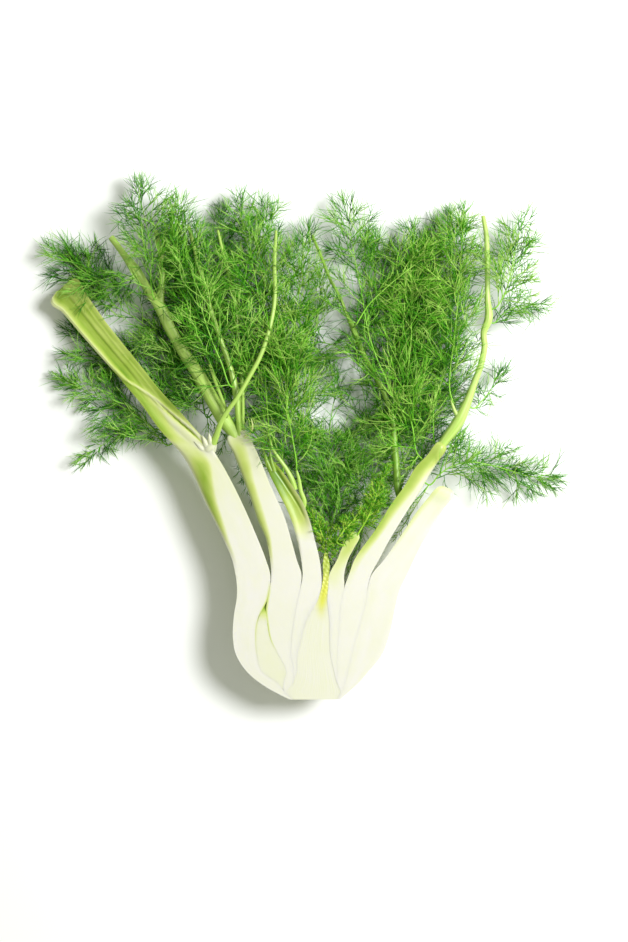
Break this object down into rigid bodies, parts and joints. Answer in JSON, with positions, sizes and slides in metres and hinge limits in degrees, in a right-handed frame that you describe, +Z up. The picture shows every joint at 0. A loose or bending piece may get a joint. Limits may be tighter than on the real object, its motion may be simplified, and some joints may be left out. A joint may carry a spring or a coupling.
{
  "type": "halved fennel bulb",
  "caption": "Fennel bulb cut in half lengthwise with its leaf bases, bud, stalks and feathery fronds, lying on its rounded back with the cut face up.",
  "frame": {"origin": "centre of the small flat rest spot under the bulb", "axes": "+Z up out of the cut face, +Y from the root end towards the fronds, +X to the right as seen from above"},
  "size_m": [0.3165, 0.3015, 0.0492],
  "materials": {
    "flesh": "moist cut flesh, satin",
    "stalk": "smooth ribbed stalk, satin",
    "bud": "moist pale yellow-green flesh, satin",
    "heart": "moist yellow flesh, satin",
    "stem": "smooth green stem, satin",
    "bright": "soft thread leaf, matt",
    "mid": "soft thread leaf, matt",
    "dark": "soft thread leaf, matt",
    "young": "soft young leaf, matt"
  },
  "bodies": {
    "root": {"sheath_left_outer": "stalk", "axillary_bud": "bud", "sheath_right_outer": "stalk", "sheath_left_middle": "stalk", "sheath_right_middle": "stalk", "sheath_left_inner": "stalk", "sheath_right_inner": "stalk", "core": "flesh", "heart_bud": "heart", "stem_left_forked": "stem", "stem_left_long": "stem", "stem_left_slim": "stem", "stem_left_crossing": "stem", "stem_left_short": "stem", "stem_middle": "stem", "stem_heart_left": "stem", "stem_heart_right": "stem", "frond_left_low": "mid", "frond_left_side": "mid", "frond_left_shade": "dark", "frond_left_gap": "mid", "frond_left_top": "dark", "frond_fork": "mid", "frond_under_stem": "dark", "frond_between": "mid", "frond_long_stem": "mid", "frond_slim_stem": "dark", "frond_crossing": "mid", "frond_centre_bright": "bright", "frond_centre_high": "bright", "frond_centre_low": "mid", "frond_heart_back": "dark", "frond_heart_front": "dark", "frond_heart_right": "mid", "frond_middle_stem": "mid", "frond_middle_side": "bright", "frond_middle_low": "mid", "frond_right_fan_left": "mid", "frond_right_fan_middle": "bright", "frond_right_fan_right": "mid", "frond_right_stem": "bright", "frond_right_shade": "dark", "frond_right_top": "bright", "frond_right_out": "mid", "frond_right_small": "mid", "frond_right_low": "mid", "young_leaf_heart": "young", "young_leaf_side": "young", "young_leaf_back": "young"}
  },
  "joints": []
}
